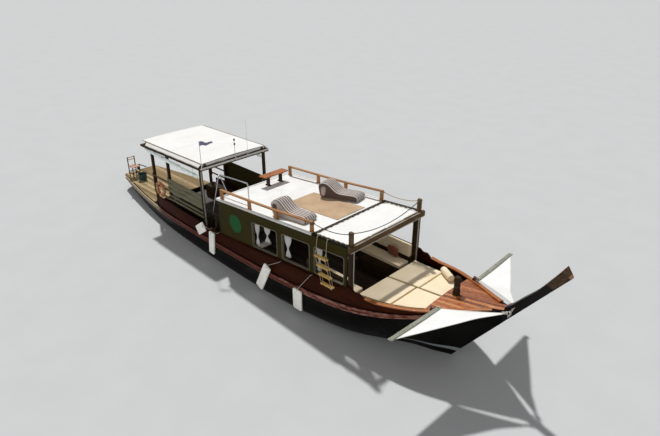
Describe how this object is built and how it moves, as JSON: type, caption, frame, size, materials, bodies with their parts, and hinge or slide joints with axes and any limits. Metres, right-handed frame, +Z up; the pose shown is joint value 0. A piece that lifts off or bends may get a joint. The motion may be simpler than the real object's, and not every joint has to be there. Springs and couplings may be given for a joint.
{
  "type": "wooden longtail-style cruise boat",
  "caption": "Wooden longtail-style cruise boat with upswept prow, low cabin under a sun deck, fore awning, aft canopy, padded foredeck and two folding bow wings.",
  "frame": {"origin": "on the centreline at the waterline, 8.5 m forward of the transom's face", "axes": "+X to the bow, +Y to port, +Z up"},
  "size_m": [19.12, 5.2238, 5.1644],
  "materials": {
    "black_paint": "gloss black paint over planks",
    "prow_timber": "black paint below, weathered dark varnish at the head",
    "mahogany": "dark red-brown varnish",
    "rub_rail_timber": "worn red-brown varnish",
    "varnish": "orange-brown gloss varnish",
    "dark_timber": "dark stained timber",
    "olive_paint": "satin olive paint",
    "white_deck": "matt white deck coating",
    "pale_plank": "bare weathered planks",
    "grey_plank": "faded grey-green paint",
    "ladder_timber": "yellowish treads on rope",
    "stern_seat_timber": "painted red-pink chair",
    "canvas": "white canvas",
    "wing_cloth": "white mesh cloth on a grey boom",
    "cream_fabric": "cream upholstery",
    "pillow_fabric": "red-brown cushion cloth",
    "mat_fabric": "tan woven mat",
    "lounger_fabric": "grey and white striped cover",
    "clear_sheet": "rolled clear plastic sheet",
    "foam": "white foam board fender",
    "lifebuoy_shell": "orange shell with white bands",
    "steel_tube": "polished stainless tube",
    "engine_metal": null,
    "bronze": "cast bronze"
  },
  "bodies": {
    "boat": {"hull": "black_paint", "prow": "prow_timber", "rub_rail_port": "rub_rail_timber", "rub_rail_starboard": "rub_rail_timber", "bulwark_aft_port": "mahogany", "bulwark_aft_starboard": "mahogany", "bulwark_port": "mahogany", "bulwark_starboard": "mahogany", "bulwark_fore_port": "mahogany", "bulwark_fore_starboard": "mahogany", "cap_rail_port": "varnish", "cap_rail_starboard": "varnish", "pad_deck": "dark_timber", "bow_deck": "varnish", "samson_post": "dark_timber", "aft_deck": "pale_plank", "cockpit_sole": "dark_timber", "cabin_sole": "dark_timber", "engine_block": "engine_metal", "side_panel_port": "olive_paint", "side_panel_starboard": "olive_paint", "cabin_bulkhead": "olive_paint", "roof": "white_deck", "awning_frame": "dark_timber", "awning_canvas": "canvas", "roof_rail_port": "varnish", "roof_rail_starboard": "varnish", "roof_bench": "varnish", "stair": "dark_timber", "stair_handrail": "steel_tube", "sun_pad_port": "cream_fabric", "sun_pad_starboard": "cream_fabric", "bolster": "cream_fabric", "fore_bench_port": "cream_fabric", "fore_bench_starboard": "cream_fabric", "pillow": "pillow_fabric", "sun_mat": "mat_fabric", "lounger_starboard": "lounger_fabric", "lounger_port": "lounger_fabric", "boarding_ladder": "ladder_timber", "fender_1": "foam", "fender_2": "foam", "fender_3": "foam", "fender_4": "foam", "canopy_frame": "dark_timber", "canopy_canvas": "canvas", "curtain_roll_port": "clear_sheet", "curtain_roll_starboard": "clear_sheet", "cockpit_side_port": "grey_plank", "cockpit_side_starboard": "grey_plank", "cockpit_seat_port": "dark_timber", "cockpit_seat_starboard": "dark_timber", "lifebuoy": "lifebuoy_shell", "helm_seat": "stern_seat_timber"},
    "wing_port": {"wing_port": "wing_cloth"},
    "wing_starboard": {"wing_starboard": "wing_cloth"},
    "propeller": {"propeller": "bronze"},
    "rudder": {"rudder": "black_paint"}
  },
  "joints": [
    {"name": "wing_port_fold", "type": "hinge", "parent": "boat", "child": "wing_port", "pos_m": [7.53, 0.9, 1.85], "axis": [0.886, -0.443, 0.1365], "range_deg": [0, 80]},
    {"name": "wing_starboard_fold", "type": "hinge", "parent": "boat", "child": "wing_starboard", "pos_m": [7.53, -0.9, 1.85], "axis": [-0.886, -0.443, -0.1365], "range_deg": [0, 80]},
    {"name": "propeller_spin", "type": "hinge", "parent": "boat", "child": "propeller", "pos_m": [-7.15, 0, -0.6], "axis": [1, 0, 0], "continuous": true},
    {"name": "rudder_turn", "type": "hinge", "parent": "boat", "child": "rudder", "pos_m": [-8.57, 0, 0], "axis": [0, 0, 1], "range_deg": [-35, 35]}
  ]
}
